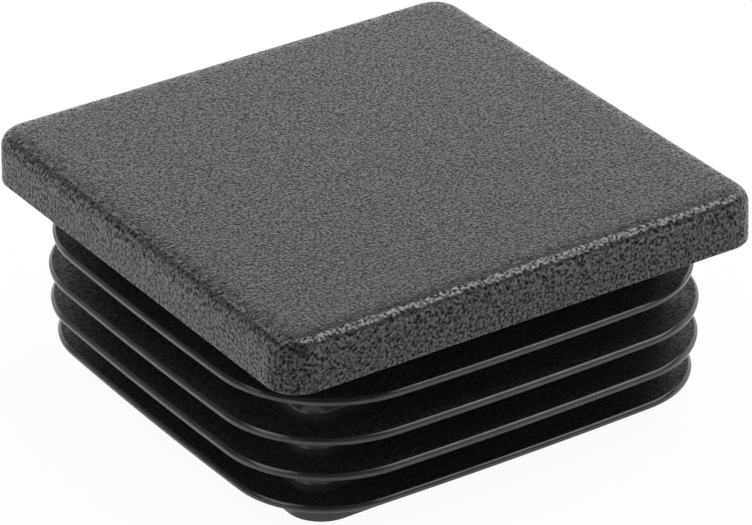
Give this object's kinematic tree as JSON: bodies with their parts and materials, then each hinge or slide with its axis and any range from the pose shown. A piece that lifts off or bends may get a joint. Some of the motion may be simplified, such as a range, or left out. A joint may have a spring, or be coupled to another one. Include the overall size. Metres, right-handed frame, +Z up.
{
  "type": "tube end cap",
  "caption": "Square push-in end cap for a steel tube: a grained flat head over a hollow square core ringed by thin flexible lamellae.",
  "frame": {"origin": "centre of the core's lower rim, on the plane the cap stands on", "axes": "+Z up from the core's open mouth through the head, along the tube's axis; the square's sides lie along X and Y"},
  "size_m": [0.04, 0.04, 0.0178],
  "materials": {
    "moulded_plastic": "black moulded polyethylene: eroded fine grain on the head, glossy on the core and lamellae"
  },
  "bodies": {
    "root": {"end_cap": "moulded_plastic"}
  },
  "joints": []
}
